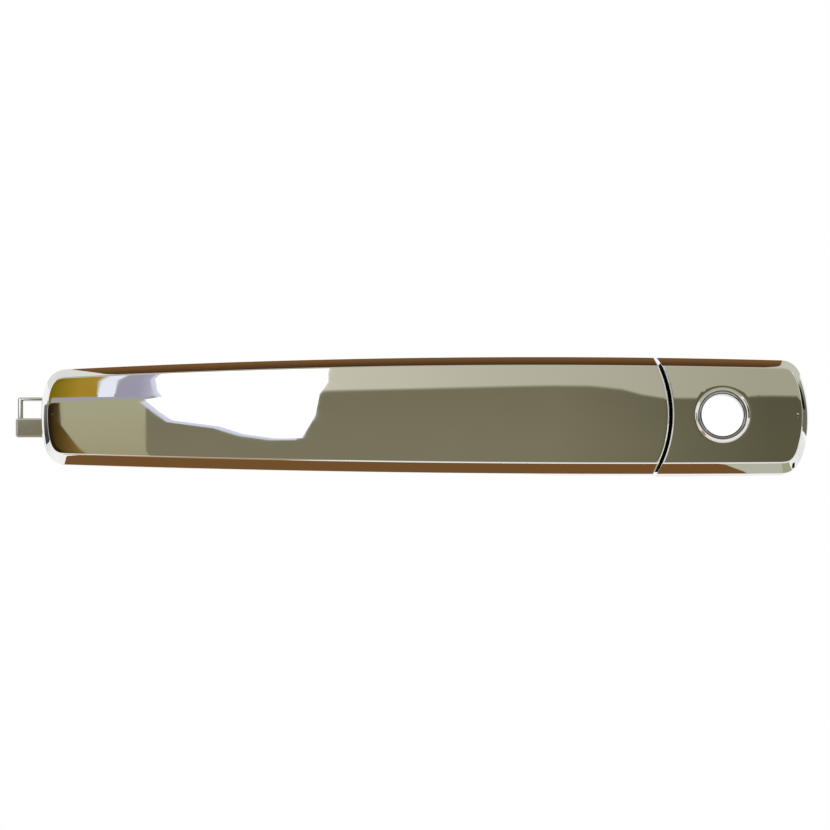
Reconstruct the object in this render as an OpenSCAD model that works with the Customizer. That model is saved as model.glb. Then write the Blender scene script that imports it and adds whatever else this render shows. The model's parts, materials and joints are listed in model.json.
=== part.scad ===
// Outside door handle of a car: a chromed pull grip that swings on trunnions, a fixed chromed
// end cap round the key hole, and the bracket, lever, spring and fixings behind the door skin.
// +X runs to the rear of the car, +Y into the door, +Z up. The origin is the axis of the lock
// cylinder's sleeve at the bracket's outer face, which lies against the inside of the skin.

/* [Grip face] */
// Front end of the grip
front_x = -194; // [-198:1:-192]
// Rear end of the end cap
rear_x = 24.8; // [23:0.2:28]
// Greatest half height of the face
face_half = 16.65; // [16:0.05:18]
// How much the half height has fallen towards the front end
face_taper = 2.65; // [1.5:0.05:3]
// Radius of the long bow of the face, seen from above
bow_r = 600; // [500:10:900]
// How far the face stands out from the bracket at the top of the bow
bow_height = 28; // [27:0.5:32]
// Radius of the crown of the face, from top to bottom edge
crown_r = 170; // [120:5:400]
// Width of the bevel along the edge, seen from the front
bevel_w = 2.7; // [1.5:0.1:3]
// Depth of the bevel
bevel_d = 5.9; // [4:0.1:6.2]

/* [Grip body] */
// Depth of the chromed cover at its edge
cover_d = 7.4; // [7.2:0.1:8]
// Wall of the cover and the end cap
wall = 2; // [1.6:0.1:2.4]
// Thickness of the grip over the fingers
grip_t = 12.5; // [11.5:0.5:14]
// Radius of the curved seam between grip and end cap
seam_r = 33; // [30:0.5:36]
// Gap along the seam
seam_gap = 0.8; // [0.5:0.1:1.2]

/* [Key hole] */
// Diameter of the key hole in the end cap
key_d = 12; // [11:0.5:13]
// Diameter of the raised bead round the key hole
bead_d = 15.5; // [15:0.5:17]
// Bore of the bracket's sleeve for the lock cylinder
lock_d = 23; // [22:0.5:24]
// Depth of that sleeve
lock_depth = 22; // [18:1:24]

/* [Hinge and lever] */
// Diameter of the grip's trunnions
trunnion_d = 6; // [5:0.2:6]
// Running clearance of the trunnions and the lever pin, on radius
fit = 0.06; // [0.03:0.01:0.1]
// Diameter of the lever pin
pin_d = 4; // [3.5:0.1:4.5]
// Length of the lever's arm, from the pin to the roller
arm_r = 26; // [26:0.1:26.2]
// Diameter of the roller at the end of the arm
roller_d = 5; // [4.6:0.1:5]
// Diameter of the counterweight
weight_d = 14; // [12:0.5:15]
// Wire of the return spring
wire_d = 1.1; // [0.9:0.05:1.15]
// Turns of the return spring
spring_turns = 2.75; // [1.75:1:2.75]

/* [Fixings] */
// Diameter of the front bolt and its nut's thread
bolt_d = 6; // [5:0.5:6]
// Distance between the two inner fixings
fixing_pitch = 46; // [44:1:50]
// Bore of the inner fixings' threaded inserts
fixing_d = 5; // [4:0.5:5]
// Thickness of the bracket's base plate
plate_t = 2.5; // [2:0.1:2.5]

/* [Hidden] */
$fn = 48;
eps = 0.01;
far = 60;

// Places of the main features along the handle
mid_x = -41;
taper_span = 136.6;
bow_x = -82;
seam_x = seam_r - 48.1;
seam_centre = seam_x - seam_r;
front_arc = 53;
rear_arc = 35;
tip_half = 3;
end_steps = [0, 0.3, 0.8, 1.5, 2.4, 3.5, 5, 7.5, 11];
front_blend = 13;
rear_blend = 6;
skin_y = -0.8;
gasket_t = 1.6;
gasket_y = skin_y - gasket_t;
base_y = gasket_y - 0.3;
arch_from = -158;
arch_to = -44;
arch_ramp = 22;

// The grip's hinge, arm and leg
hinge = [-183.5, 6.5];
open_angle = 9;
arm_x = [-187, -180];
arm_half = 5.5;
trunnion_half = 9.5;
nose_tip = -201.8;
nose_root = -190.2;
nose_y = [3.2, 8.2];
nose_z = [-4.9, 6.5];
nose_sill = 0.5;
leg_x = [-36, -28];
leg_half = 5;
leg_y = 36.5;
hook_y = 32;
hook_tip = -49;
hook_half = 2.2;
ear_half = 9;
ear_y = 27.3;
ear_t = 3;

// The lever and what it carries
lever = [-68, 20];
hub_r = 5;
hub_half = 9.2;
roller_angle = 20.72;
weight_angle = 195;
weight_r = 21;
weight_z = [-5, 8.8];
cable_angle = 115;
cable_r = 16;
cable_z = [-9, -5];
nipple_d = 6.1;
fork_half = 2.6;
fork_t = 2;
spring_r = 6.6;
spring_z = [5.4, 8.5];

// The bracket
cheek_in = 9.5;
cheek_t = 2;
sheath_x = [-118, -114];
sheath_d = 6;
bolt_x = -165;
fixing_x = -104;
boss_top = 14;
boss_r = 5;
leg_slot = [-54, -19.8];
cap_leg_x = [14.6, 18.6];
cap_screw_y = 11.5;
cap_screw_d = 5;
cap_hook_z = [8.8, 10.8];
cap_hook_x = [-14, -12];
rear_wall_x = [19.5, 21.5];
screw_x = [-140, -60];
screw_d = 3.4;

chrome = [0.80, 0.80, 0.78];
black_plastic = [0.10, 0.10, 0.11];
rubber = [0.05, 0.05, 0.05];
zinc = [0.62, 0.62, 0.60];
steel = [0.72, 0.72, 0.74];
dark_steel = [0.35, 0.35, 0.37];
brass = [0.78, 0.62, 0.30];
acetal = [0.90, 0.89, 0.85];

// ---------- the face: half height, bow, crown and bevel as functions of place ----------

function sq(v) = v * v;
function about(v, r) = [v - r, v + r];
function clamp(v, low, high) = min(high, max(low, v));
function soft_min(a, b, k) = min(a, b) - sq(max(0, k - abs(a - b))) / (4 * k);
function smooth(t) = let (u = clamp(t, 0, 1)) u * u * (3 - 2 * u);
function side_half(x) = face_half - face_taper * sq((x - mid_x) / taper_span);
function arc_half(r, inset, depth) = sqrt(max(0, sq(r - inset) - sq(max(0, r - depth))));

// Half height of the outline at x, drawn in by inset all round
function outline_half(x, inset) =
    let (side = side_half(x) - inset,
         front = arc_half(front_arc, inset, x - front_x),
         rear = arc_half(rear_arc, inset, rear_x - x))
    max(tip_half, soft_min(soft_min(side, front, front_blend), rear, rear_blend));

function face_y(x) = bow_r - bow_height - sqrt(sq(bow_r) - sq(x - bow_x));
function end_depth(x) = clamp(1 - min(x - front_x, rear_x - x) / bevel_w, 0, 1);
function top_y(x, z) = face_y(x) + sq(z) / (2 * crown_r) + bevel_d * end_depth(x);

// Back of the grip: down to the gasket at both ends, lifted over the fingers between them
function base_at(x) = base_y - max(0, hinge.x - x) * tan(open_angle + 0.5);
function arch(x) = smooth((x - arch_from) / arch_ramp) * smooth((arch_to - x) / arch_ramp);
function back_y(x) = base_at(x) + arch(x) * (face_y(x) + grip_t - base_at(x));

function spread(from, to, n) = [for (i = [0 : n]) from + (to - from) * i / n];

// Places along x, close together where the ends turn
function stations(from, to) =
    let (all = concat(
        [for (t = end_steps) front_x + t],
        spread(front_x + 15, rear_x - 15, 24),
        [for (i = [len(end_steps) - 1 : -1 : 0]) rear_x - end_steps[i]]))
    concat([from], [for (x = all) if (x > from + 0.1 && x < to - 0.1) x], [to]);

// One section of a chromed shell, from its face to the plane back
function shell_ring(x, inset, lift, back) =
    let (zo = outline_half(x, inset),
         zi = min(zo - 0.3 * bevel_w, outline_half(x, inset + bevel_w)),
         side_y = face_y(x) + sq(zo) / (2 * crown_r) + bevel_d + lift)
    concat(
        [[x, back, -zo], [x, side_y, -zo]],
        [for (k = [-1 : 0.5 : 1]) [x, top_y(x, k * zi) + lift, k * zi]],
        [[x, side_y, zo], [x, back, zo]]);

// One section of the grip's back half, its finger edges chamfered
function back_ring(x, front, back, soft) =
    let (z = outline_half(x, 0.15), in = min(soft, z * 0.4))
    [[x, front, -z], [x, front, z], [x, back - in, z], [x, back, z - in],
     [x, back, -(z - in)], [x, back - in, -z]];

// A closed solid through a row of sections that have the same number of points
module loft(rings) {
    n = len(rings[0]);
    last = (len(rings) - 1) * n;
    sides = [for (i = [0 : len(rings) - 2], j = [0 : n - 1])
        let (a = i * n + j, b = i * n + (j + 1) % n)
        each [[a, b + n, a + n], [a, b, b + n]]];
    polyhedron(
        [for (ring = rings) each ring],
        concat([[for (j = [n - 1 : -1 : 0]) j]], sides, [[for (j = [0 : n - 1]) last + j]]));
}

// ---------- small helpers ----------

module box(x, y, z) {
    translate([x[0], y[0], z[0]]) cube([x[1] - x[0], y[1] - y[0], z[1] - z[0]]);
}

// A cylinder along +Y from y[0] to y[1]
module rod_y(r, x, y, z = 0) {
    translate([x, y[0], z]) rotate([-90, 0, 0]) cylinder(r = r, h = y[1] - y[0]);
}

// A cylinder along +Z from z[0] to z[1]
module rod_z(r, at, z) {
    translate([at.x, at.y, z[0]]) cylinder(r = r, h = z[1] - z[0]);
}

// A cylinder along +X from x[0] to x[1]
module rod_x(r, x, y, z = 0) {
    translate([x[0], y, z]) rotate([0, 90, 0]) cylinder(r = r, h = x[1] - x[0]);
}

module both_sides() {
    children();
    mirror([0, 0, 1]) children();
}

// Everything in front of the seam's arc, at radius r about its centre
module seam_front(r) {
    rod_y(r, seam_centre, [-far, far]);
    box([front_x - far, seam_centre], [-far, far], [-far, far]);
}

// Everything behind the seam's arc
module seam_rear(r) {
    difference() {
        box([seam_centre, rear_x + far], [-far + 1, far - 1], [-far + 1, far - 1]);
        rod_y(r, seam_centre, [-far, far]);
    }
}

// A flat plate along the face's outline, drawn in by inset, between two places along x
module outline_plate(x, y, inset) {
    top = [for (p = stations(x[0], x[1])) [p, outline_half(p, inset)]];
    low = [for (i = [len(top) - 1 : -1 : 0]) [top[i].x, -top[i].y]];
    translate([0, y[1], 0]) rotate([90, 0, 0]) linear_extrude(y[1] - y[0]) polygon(concat(top, low));
}

module lever_frame(angle) {
    translate([lever.x, lever.y, 0]) rotate([0, 0, angle]) children();
}

// ---------- the grip ----------

module cover_mass(inset, lift, depth) {
    loft([for (x = stations(front_x + inset, seam_x + 1))
        shell_ring(x, inset, lift, face_y(x) + depth)]);
}

// The chromed shell, hollow but for the two bosses that take the grip's screws
module grip_cover() {
    boss_r = 3.4;
    color(chrome) difference() {
        cover_mass(0, 0, cover_d);
        difference() {
            cover_mass(wall, wall, cover_d + 1);
            seam_rear(seam_r - wall);
            for (x = screw_x) rod_y(boss_r, x, [-far, far]);
        }
        seam_rear(seam_r);
        for (x = screw_x) rod_y(screw_d / 2, x, [face_y(x) + wall + 0.3, 0]);
    }
}

module grip_back() {
    bolt_pocket = [[-174, -158], [-9.5, 0], [-8, 8]];
    head_r = 3.4;
    color(chrome) {
        difference() {
            loft([for (x = stations(front_x + 0.2, seam_x + 1))
                back_ring(x, face_y(x) + cover_d, back_y(x), 3)]);
            seam_rear(seam_r);
            box(bolt_pocket[0], bolt_pocket[1], bolt_pocket[2]);
            for (x = screw_x) {
                rod_y(screw_d / 2, x, [-far, far]);
                rod_y(head_r, x, [back_y(x) - 2.2, 0]);
            }
        }
        front_arm();
        rear_leg();
    }
}

module front_arm() {
    end_r = 3.5;
    box(arm_x, [-9, hinge.y], [-arm_half, arm_half]);
    rod_z(end_r, hinge, [-arm_half, arm_half]);
    rod_z(trunnion_d / 2, hinge, [-trunnion_half, trunnion_half]);
    nose();
}

// Frame ahead of the hinge: a solid sill with a thinner loop standing on it
module nose() {
    box([nose_root - eps, hinge.x], nose_y, [nose_z[0], 5]);
    box([nose_tip, nose_root], nose_y, [nose_z[0], nose_sill]);
    difference() {
        box([nose_tip + 0.6, nose_root], nose_y, [nose_sill - eps, nose_z[1]]);
        box([nose_tip + 2.1, -192], [0, 12], [nose_sill, nose_z[1] - 0.9]);
    }
}

module rear_leg() {
    box(leg_x, [-9, leg_y], [-leg_half, leg_half]);
    box([hook_tip + 2.25, leg_x[0] + 1], [hook_y, leg_y], [-hook_half, hook_half]);
    rod_z((leg_y - hook_y) / 2, [hook_tip + 2.25, (leg_y + hook_y) / 2], [-hook_half, hook_half]);
    box(leg_x, [ear_y, ear_y + ear_t], [-ear_half, ear_half]);
}

module grip_screws() {
    color(dark_steel) for (x = screw_x) {
        seat = back_y(x) - 2.2;
        difference() {
            rod_y(3.1, x, [seat, seat + 2]);
            translate([x, seat + 0.8, 0]) rotate([-90, 0, 0]) cylinder(r = 1.3, h = 2, $fn = 6);
        }
        rod_y(screw_d / 2, x, [face_y(x) + wall + 0.6, seat + eps]);
    }
}

// ---------- the end cap ----------

module cap_mass(inset, lift, back) {
    loft([for (x = stations(-22, rear_x - inset)) shell_ring(x, inset, lift, back)]);
}

module end_cap() {
    key_y = face_y(0);
    sleeve_r = key_d / 2 + 2.5;
    color(chrome) difference() {
        union() {
            difference() {
                cap_mass(0, 0, gasket_y);
                difference() {
                    cap_mass(wall, wall, 1);
                    seam_front(seam_r + seam_gap + wall);
                }
                seam_front(seam_r + seam_gap);
            }
            rod_y(sleeve_r, 0, [key_y + 1, key_y + 8]);
            key_bead(key_y);
            cap_leg();
            both_sides() cap_hook();
        }
        rod_y(key_d / 2, 0, [-far, far]);
        rod_x(3.5, cap_leg_x + [-1, 1], cap_screw_y);
    }
}

// Rounded ring standing on the face round the key hole
module key_bead(y) {
    bead_w = (bead_d - key_d) / 2;
    translate([0, y + bead_w / 2, 0]) rotate([90, 0, 0]) rotate_extrude($fn = 96)
        translate([key_d / 2 + bead_w / 2, 0]) {
            intersection() {
                circle(r = bead_w / 2 + 0.6);
                translate([-bead_w / 2, -bead_w]) square([bead_w, 2 * bead_w]);
            }
        }
}

module cap_leg() {
    box(cap_leg_x, [face_y(cap_leg_x[0]) + 1.5, 16.5], [-6, 6]);
}

module cap_hook() {
    lip_y = [plate_t + 0.4, 5.5];
    box(cap_hook_x, [gasket_y - 6, lip_y[1]], cap_hook_z);
    box([cap_hook_x[0], -10.8], lip_y, cap_hook_z);
}

module cap_insert() {
    color(brass) difference() {
        rod_x(3.5, cap_leg_x, cap_screw_y);
        rod_x(cap_screw_d / 2, cap_leg_x + [-1, 1], cap_screw_y);
    }
}

module cap_screw() {
    head = [rear_wall_x[1], rear_wall_x[1] + 3];
    color(dark_steel) difference() {
        union() {
            rod_x(cap_screw_d / 2, [14.2, head[0] + eps], cap_screw_y);
            rod_x(4.4, head, cap_screw_y);
        }
        translate([head[1] - 2, cap_screw_y, 0]) rotate([0, 90, 0]) cylinder(r = 2.3, h = 3, $fn = 6);
    }
}

// ---------- the bracket behind the skin ----------

module bracket() {
    color(black_plastic) difference() {
        union() {
            plate();
            both_sides() {
                stiffener();
                lever_cheek();
                trunnion_cheek();
                ear_guide();
            }
            rod_y(lock_d / 2 + 2, 0, [0, lock_depth]);
            rear_wall();
            sheath_post();
            spring_post();
            for (i = [0, 1]) rod_y(boss_r, fixing_x - i * fixing_pitch, [0, boss_top]);
        }
        rod_y(lock_d / 2, 0, [-1, lock_depth + 1]);
        bracket_openings();
    }
}

module plate() {
    outline = [[-192.5, 9], [-186, 11], [-178, 12.4], [-150, 13], [-120, 13.5], [21.5, 13.5]];
    low = [for (i = [len(outline) - 1 : -1 : 0]) [outline[i].x, -outline[i].y]];
    translate([0, plate_t, 0]) rotate([90, 0, 0]) linear_extrude(plate_t) polygon(concat(outline, low));
}

// Low wall along each edge of the plate
module stiffener() {
    box([-158, rear_wall_x[1]], [0, 5], [11.4, 13]);
}

// Wall that the end cap's screw passes through, with a rib on each side of the cap's leg
module rear_wall() {
    box(rear_wall_x, [0, 17], [-8.2, 8.2]);
    both_sides() box([13, rear_wall_x[1]], [0, 10], [6.6, 8.2]);
}

module lever_cheek() {
    z = [cheek_in, cheek_in + cheek_t];
    box([lever.x - 7, lever.x + 7], [0, lever.y], z);
    rod_z(7, lever, z);
}

module trunnion_cheek() {
    z = [6, 10];
    difference() {
        box([-189, -181], [0, 11.5], z);
        rod_z(trunnion_d / 2 + fit, hinge, [5, 11]);
        box([hinge.x, -180], about(hinge.y, trunnion_d / 2 + fit), [5, 11]);
    }
}

module ear_guide() {
    box([-40, -19.5], [0, 15], [ear_half + 0.5, ear_half + 2.5]);
}

// Post that the return spring's fixed leg lies against
module spring_post() {
    box([-60, -57.4], [0, 9], [7, 10.8]);
}

// Post that holds the end of the cable's sheath
module sheath_post() {
    z = (cable_z[0] + cable_z[1]) / 2;
    y = lever.y + cable_r * sin(cable_angle);
    difference() {
        union() {
            box(sheath_x, [0, y], about(z, 5));
            rod_x(5, sheath_x, y, z);
            box([-130, sheath_x[0] + 1], [0, 16], about(z, 1.5));
        }
        rod_x(sheath_d / 2, sheath_x + [-1, 1], y, z);
    }
}

// Opening for the grip's arm, wide enough at its rear end for the trunnions to pass
module arm_opening(y) {
    box([-190.5, -172], y, [-6, 6]);
    box([-179, -172], y, [-10, 10]);
}

// Opening for the grip's leg, wide enough at its rear end for the ears to pass
module leg_opening(y) {
    box(leg_slot, y, [-6, 6]);
    box([-28.5, leg_slot[1]], y, [-9.4, 9.4]);
}

// Openings for the end cap's leg and hooks
module cap_openings(y) {
    both_sides() box(cap_hook_x + [-1.1, 0.2], y, cap_hook_z + [-0.5, 0.5]);
    box([14, 19.2], y, [-6.5, 6.5]);
}

module bracket_openings() {
    through = [-1, plate_t + 0.1];
    arm_opening(through);
    leg_opening(through);
    cap_openings(through);
    rod_y(bolt_d / 2 + 0.3, bolt_x, [-1, far]);
    rod_x(cap_screw_d / 2 + 0.3, rear_wall_x + [-0.2, 1], cap_screw_y);
    for (i = [0, 1])
        rod_y(fixing_d / 2 + 1.2, fixing_x - i * fixing_pitch, [boss_top - 9, boss_top + 1]);
    rod_z(pin_d / 2, lever, [-far, far]);
    for (x = concat(front_pips, rear_pips))
        both_sides() rod_y(pip_r, x, through, pip_z(x));
}

// ---------- gaskets, held to the bracket by small pips through the skin ----------

pip_r = 1.5;
front_pips = [-187, -160];
rear_pips = [-57, 12.5];
function pip_z(x) = x < -180 ? 7.8 : 9.4;

module gasket_pips(places) {
    for (x = places)
        both_sides() rod_y(pip_r, x, [gasket_y + 0.6, plate_t], pip_z(x));
}

module front_gasket() {
    color(rubber) {
        difference() {
            outline_plate([front_x + 1.4, -156], [gasket_y, skin_y], 1.4);
            arm_opening([-far, far]);
            rod_y(6, bolt_x, [-far, far]);
        }
        gasket_pips(front_pips);
    }
}

module rear_gasket() {
    color(rubber) {
        difference() {
            outline_plate([-62, rear_x - 1.4], [gasket_y, skin_y], 1.4);
            leg_opening([-far, far]);
            cap_openings([-far, far]);
            rod_y(lock_d / 2, 0, [-far, far]);
        }
        gasket_pips(rear_pips);
    }
}

// ---------- fixings ----------

module front_bolt() {
    head_h = 3.5;
    color(steel) difference() {
        union() {
            rod_y(5.5, bolt_x, [skin_y - head_h, skin_y]);
            rod_y(bolt_d / 2, bolt_x, [skin_y - eps, 9]);
        }
        translate([bolt_x, skin_y - head_h - 1, 0]) rotate([-90, 0, 0]) cylinder(r = 2.6, h = 3, $fn = 6);
    }
}

module front_nut() {
    color(steel) difference() {
        translate([bolt_x, plate_t, 0]) rotate([-90, 0, 0]) cylinder(r = 5.77, h = 5, $fn = 6);
        rod_y(bolt_d / 2, bolt_x, [-far, far]);
    }
}

module fixing_inserts() {
    color(brass) for (i = [0, 1])
        difference() {
            rod_y(fixing_d / 2 + 1.2, fixing_x - i * fixing_pitch, [boss_top - 9, boss_top]);
            rod_y(fixing_d / 2, fixing_x - i * fixing_pitch, [boss_top - 10, boss_top + 1]);
        }
}

// ---------- the lever ----------

module lever() {
    color(zinc) difference() {
        union() {
            rod_z(hub_r, lever, [-hub_half, hub_half]);
            lever_frame(roller_angle) roller_arm();
            lever_frame(weight_angle) weight_arm();
            lever_frame(cable_angle) cable_arm();
        }
        rod_z(pin_d / 2 + fit, lever, [-far, far]);
    }
}

module roller_arm() {
    tip_r = 2.2;
    reach = fork_half + fork_t;
    box([0, 17], [-3.5, 3.5], [-reach, reach]);
    box([9, 13], [-(spring_r - wire_d / 2), -3], [2, spring_z[0] + 0.8]);
    both_sides() difference() {
        union() {
            box([16, arm_r], [-tip_r, tip_r], [fork_half, reach]);
            rod_z(tip_r, [arm_r, 0], [fork_half, reach]);
        }
        rod_z(1.4, [arm_r, 0], [0, far]);
    }
}

module weight_arm() {
    difference() {
        union() {
            box([0, weight_r], [-3.5, 3.5], [-8.6, -5]);
            rod_z(4.5, [weight_r, 0], [-8.6, -5]);
        }
        rod_z(1.5, [weight_r, 0], [-far, far]);
    }
}

module cable_arm() {
    difference() {
        union() {
            box([0, cable_r], [-3, 3], [cable_z[0], cable_z[1]]);
            rod_z(nipple_d / 2 + 1.6, [cable_r, 0], cable_z);
        }
        rod_z(nipple_d / 2, [cable_r, 0], [cable_z[0] - 1, cable_z[1] + 1]);
        box([cable_r - 0.9, cable_r + 0.9], [0, 8], cable_z + [-1, 1]);
    }
}

module lever_roller() {
    color(acetal) lever_frame(roller_angle) difference() {
        rod_z(roller_d / 2, [arm_r, 0], [-fork_half + 0.1, fork_half - 0.1]);
        rod_z(1.4 + fit, [arm_r, 0], [-far, far]);
    }
}

module roller_pin() {
    reach = fork_half + fork_t;
    color(steel) lever_frame(roller_angle) rod_z(1.4, [arm_r, 0], [-reach - 0.3, reach + 0.3]);
}

module counterweight() {
    color(dark_steel) lever_frame(weight_angle) difference() {
        rod_z(weight_d / 2, [weight_r, 0], weight_z);
        rod_z(1.5, [weight_r, 0], [-far, far]);
    }
}

module counterweight_rivet() {
    color(steel) lever_frame(weight_angle) {
        rod_z(1.5, [weight_r, 0], [-9.2, weight_z[1] + 0.8]);
        rod_z(2.8, [weight_r, 0], [-9.4, -8.6]);
        rod_z(2.8, [weight_r, 0], [weight_z[1], weight_z[1] + 0.8]);
    }
}

module lever_pin() {
    out = cheek_in + cheek_t;
    color(steel) difference() {
        union() {
            rod_z(pin_d / 2, lever, [-out - 0.5, out + 1.4]);
            rod_z(3.4, lever, [-out - 1.4, -out]);
        }
        difference() {
            rod_z(pin_d, lever, [out, out + 0.8]);
            rod_z(pin_d / 2 - 0.5, lever, [out, out + 0.8]);
        }
    }
}

module pin_clip() {
    out = cheek_in + cheek_t;
    color(dark_steel) difference() {
        rod_z(4, lever, [out, out + 0.8]);
        rod_z(pin_d / 2 - 0.5, lever, [0, far]);
        box(about(lever.x, 1.3), [lever.y, lever.y + 6], [out - 1, out + 2]);
    }
}

// A round wire swept along a list of points whose turns lie in planes of constant z
module wire(path, r, sides = 8) {
    n = len(path);
    rings = [for (i = [0 : n - 1])
        let (t = path[min(i + 1, n - 1)] - path[max(i - 1, 0)],
             d = t / norm(t),
             u = cross([0, 0, 1], d) / norm(cross([0, 0, 1], d)),
             v = cross(d, u))
        [for (j = [0 : sides - 1])
            path[i] + r * (cos(360 * j / sides) * u - sin(360 * j / sides) * v)]];
    loft(rings);
}

// Torsion spring: one leg lies against the lever's lug, the other against the bracket's post
module return_spring() {
    steps = 16;
    start = roller_angle - 90;
    span = 360 * spring_turns;
    coil = [for (i = [0 : steps * spring_turns])
        let (t = i / (steps * spring_turns), a = start - span * t)
        [lever.x + spring_r * cos(a), lever.y + spring_r * sin(a),
         spring_z[0] + (spring_z[1] - spring_z[0]) * t]];
    leg_in = coil[0] + 14 * [-sin(start), cos(start), 0];
    leg_out = coil[len(coil) - 1] + 17 * [sin(start - span), -cos(start - span), 0];
    color(steel) wire(concat([leg_in], coil, [leg_out]), wire_d / 2);
}

module lever_buffer() {
    at = [lever.x + weight_r * cos(weight_angle), lever.y + weight_r * sin(weight_angle)];
    color(rubber) rod_y(3.6, at.x, [plate_t, at.y - weight_d / 2 - 0.3], 2);
}

grip_cover();
grip_back();
grip_screws();
end_cap();
cap_insert();
cap_screw();
bracket();
front_gasket();
rear_gasket();
front_bolt();
front_nut();
fixing_inserts();
lever();
lever_roller();
roller_pin();
counterweight();
counterweight_rivet();
lever_pin();
pin_clip();
return_spring();
lever_buffer();
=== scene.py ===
import json
import math

import bmesh
import bpy
import numpy as np
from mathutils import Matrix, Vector


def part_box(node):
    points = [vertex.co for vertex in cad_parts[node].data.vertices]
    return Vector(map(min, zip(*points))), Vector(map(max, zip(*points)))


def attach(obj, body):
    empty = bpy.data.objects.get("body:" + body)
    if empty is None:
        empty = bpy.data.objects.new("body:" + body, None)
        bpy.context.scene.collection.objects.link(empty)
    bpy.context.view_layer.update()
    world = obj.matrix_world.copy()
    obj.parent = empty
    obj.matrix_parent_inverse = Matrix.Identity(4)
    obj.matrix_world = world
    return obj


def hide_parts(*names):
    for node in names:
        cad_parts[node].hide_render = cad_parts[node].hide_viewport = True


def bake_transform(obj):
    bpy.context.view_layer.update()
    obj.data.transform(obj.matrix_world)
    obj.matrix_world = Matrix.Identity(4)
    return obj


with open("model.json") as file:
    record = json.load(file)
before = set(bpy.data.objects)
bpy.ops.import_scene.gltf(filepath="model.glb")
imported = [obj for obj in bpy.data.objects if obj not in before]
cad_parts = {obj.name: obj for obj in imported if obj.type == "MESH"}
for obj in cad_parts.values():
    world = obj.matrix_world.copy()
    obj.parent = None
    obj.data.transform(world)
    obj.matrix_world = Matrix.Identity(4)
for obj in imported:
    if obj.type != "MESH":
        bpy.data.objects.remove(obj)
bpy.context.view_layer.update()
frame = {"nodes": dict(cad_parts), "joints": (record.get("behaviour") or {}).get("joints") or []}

# An outside car door handle: chromed grip and end cap, with the bracket, lever, spring and
# fixings behind them. Shapes are worked out in millimetres and stored in metres.

MM = 0.001


def low(node, axis):
    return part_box(node)[0][axis] / MM


def high(node, axis):
    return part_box(node)[1][axis] / MM


# ---------- the face: taper, bow and crown, as functions of place ----------

FRONT_X, REAR_X = low("grip_cover", 0), high("end_cap", 0)
FACE_HALF = high("grip_cover", 2)
TAPER, MID_X, TAPER_SPAN = 2.65, -41.0, 136.6
BOW_R, BOW_X = 600.0, -82.0
BOW_Y = low("grip_cover", 1)
CROWN_R = 170.0
BEVEL_W, BEVEL_D = 2.7, 5.9
COVER_D, GRIP_T, WALL = 7.4, 12.5, 2.0
SEAM_R, SEAM_GAP = 33.0, 0.8
SEAM_X = high("grip_cover", 0) - SEAM_R
SEAM_EDGE = 0.55
END_NARROWING = 0.3  # how much narrower the bevel is where the outline faces along X
GASKET_Y = low("rear_gasket", 1)
BASE_Y = GASKET_Y - 0.3
HINGE_X, HINGE_Y = (v / MM for v in frame["joints"][0]["pos_m"][:2])


def side_half(x):
    return FACE_HALF - TAPER * ((x - MID_X) / TAPER_SPAN) ** 2


def bow(x):
    return BOW_Y + BOW_R - np.sqrt(BOW_R**2 - (x - BOW_X) ** 2)


def face_y(x, z):
    return bow(x) + z**2 / (2 * CROWN_R)


def soft_min(a, b, k):
    return np.minimum(a, b) - np.maximum(0, k - np.abs(a - b)) ** 2 / (4 * k)


def smooth(t):
    t = np.clip(t, 0, 1)
    return t * t * (3 - 2 * t)


def half_outline(tip, inward, arc_r, blend, reach, inset, n):
    """The outline's upper half from its tip, drawn in by inset: points and inward normals."""
    depth = reach * np.linspace(0, 1, 6000) ** 2
    x = tip + inward * (inset + depth)
    r = arc_r - inset
    arc = np.sqrt(np.maximum(0, r**2 - np.maximum(0, r - depth) ** 2))
    z = np.maximum(soft_min(side_half(x) - inset, arc, blend), 0)
    s = np.concatenate([[0], np.cumsum(np.hypot(np.diff(x), np.diff(z)))])
    u = np.linspace(0, 1, n)
    at = s[-1] * (0.4 * u + 0.6 * u**2)
    p = np.stack([np.interp(at, s, x), np.interp(at, s, z)], 1)
    t = np.gradient(p, axis=0)
    t /= np.linalg.norm(t, axis=1)[:, None]
    normal = np.stack([t[:, 1], -t[:, 0]], 1) * inward
    normal[0] = (inward, 0)
    p[0, 1] = 0
    return p, normal


def fillet(points, radii, steps=6):
    """A polyline with its inner corners rounded to the given radii."""
    points = [np.array(p, float) for p in points]
    out = [points[0]]
    for a, b, c, r in zip(points, points[1:], points[2:], radii):
        u, v = (a - b) / np.linalg.norm(a - b), (c - b) / np.linalg.norm(c - b)
        half = math.acos(np.clip(u @ v, -1, 1)) / 2
        centre = b + (u + v) / np.linalg.norm(u + v) * r / math.sin(half)
        start, end = b + u * r / math.tan(half), b + v * r / math.tan(half)
        sweep = math.pi - 2 * half
        e0, e1 = (start - centre) / r, (end - centre) / r
        for i in range(steps + 1):
            f = i / steps
            q = math.sin((1 - f) * sweep) * e0 + math.sin(f * sweep) * e1
            out.append(centre + r * q / math.sin(sweep))
    return out + [points[-1]]


# ---------- a long form closed over its outline, cut off along the seam ----------


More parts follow.
